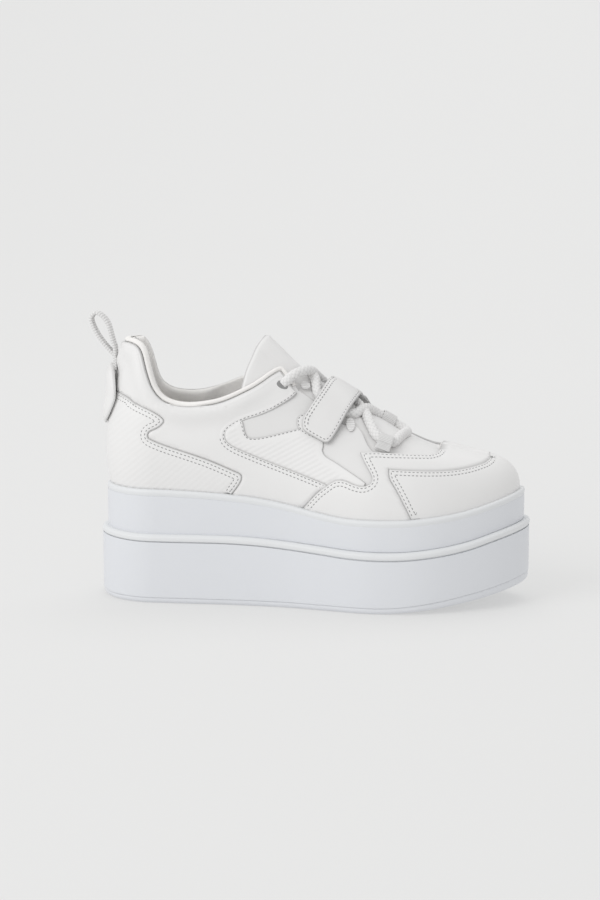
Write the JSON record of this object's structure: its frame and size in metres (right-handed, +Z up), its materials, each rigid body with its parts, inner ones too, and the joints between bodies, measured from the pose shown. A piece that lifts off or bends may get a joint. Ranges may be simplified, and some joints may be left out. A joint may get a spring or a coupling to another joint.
{
  "type": "platform sneaker",
  "caption": "Low leather sneaker on a thick two-tier platform sole, with a padded open collar, instep strap, round lace and heel pull loop.",
  "frame": {"origin": "on the floor under the middle of the sole's length, on the line through the heel's middle", "axes": "+X from heel to toe, -Y to the outer side of the foot, +Z up"},
  "size_m": [0.2875, 0.1075, 0.1854],
  "materials": {
    "sole_rubber": "satin",
    "leather": "satin",
    "ribbed": "matte, ribbed",
    "lining": "matte",
    "cord": "woven"
  },
  "bodies": {
    "root": {"outsole": "sole_rubber", "lower_platform": "sole_rubber", "upper_platform": "sole_rubber", "insole": "lining", "upper": "leather", "tongue": "leather", "collar_panel": "leather", "collar_binding": "lining", "heel_counter": "ribbed", "side_panel_outer": "ribbed", "side_panel_inner": "ribbed", "vamp_overlay": "leather", "toe_cap": "leather", "strap_base": "leather", "strap": "leather", "lace": "cord", "keeper_outer": "cord", "keeper_inner": "cord", "tongue_tab": "cord", "lace_tab": "cord", "heel_pad": "leather", "pull_loop": "cord"}
  },
  "joints": []
}
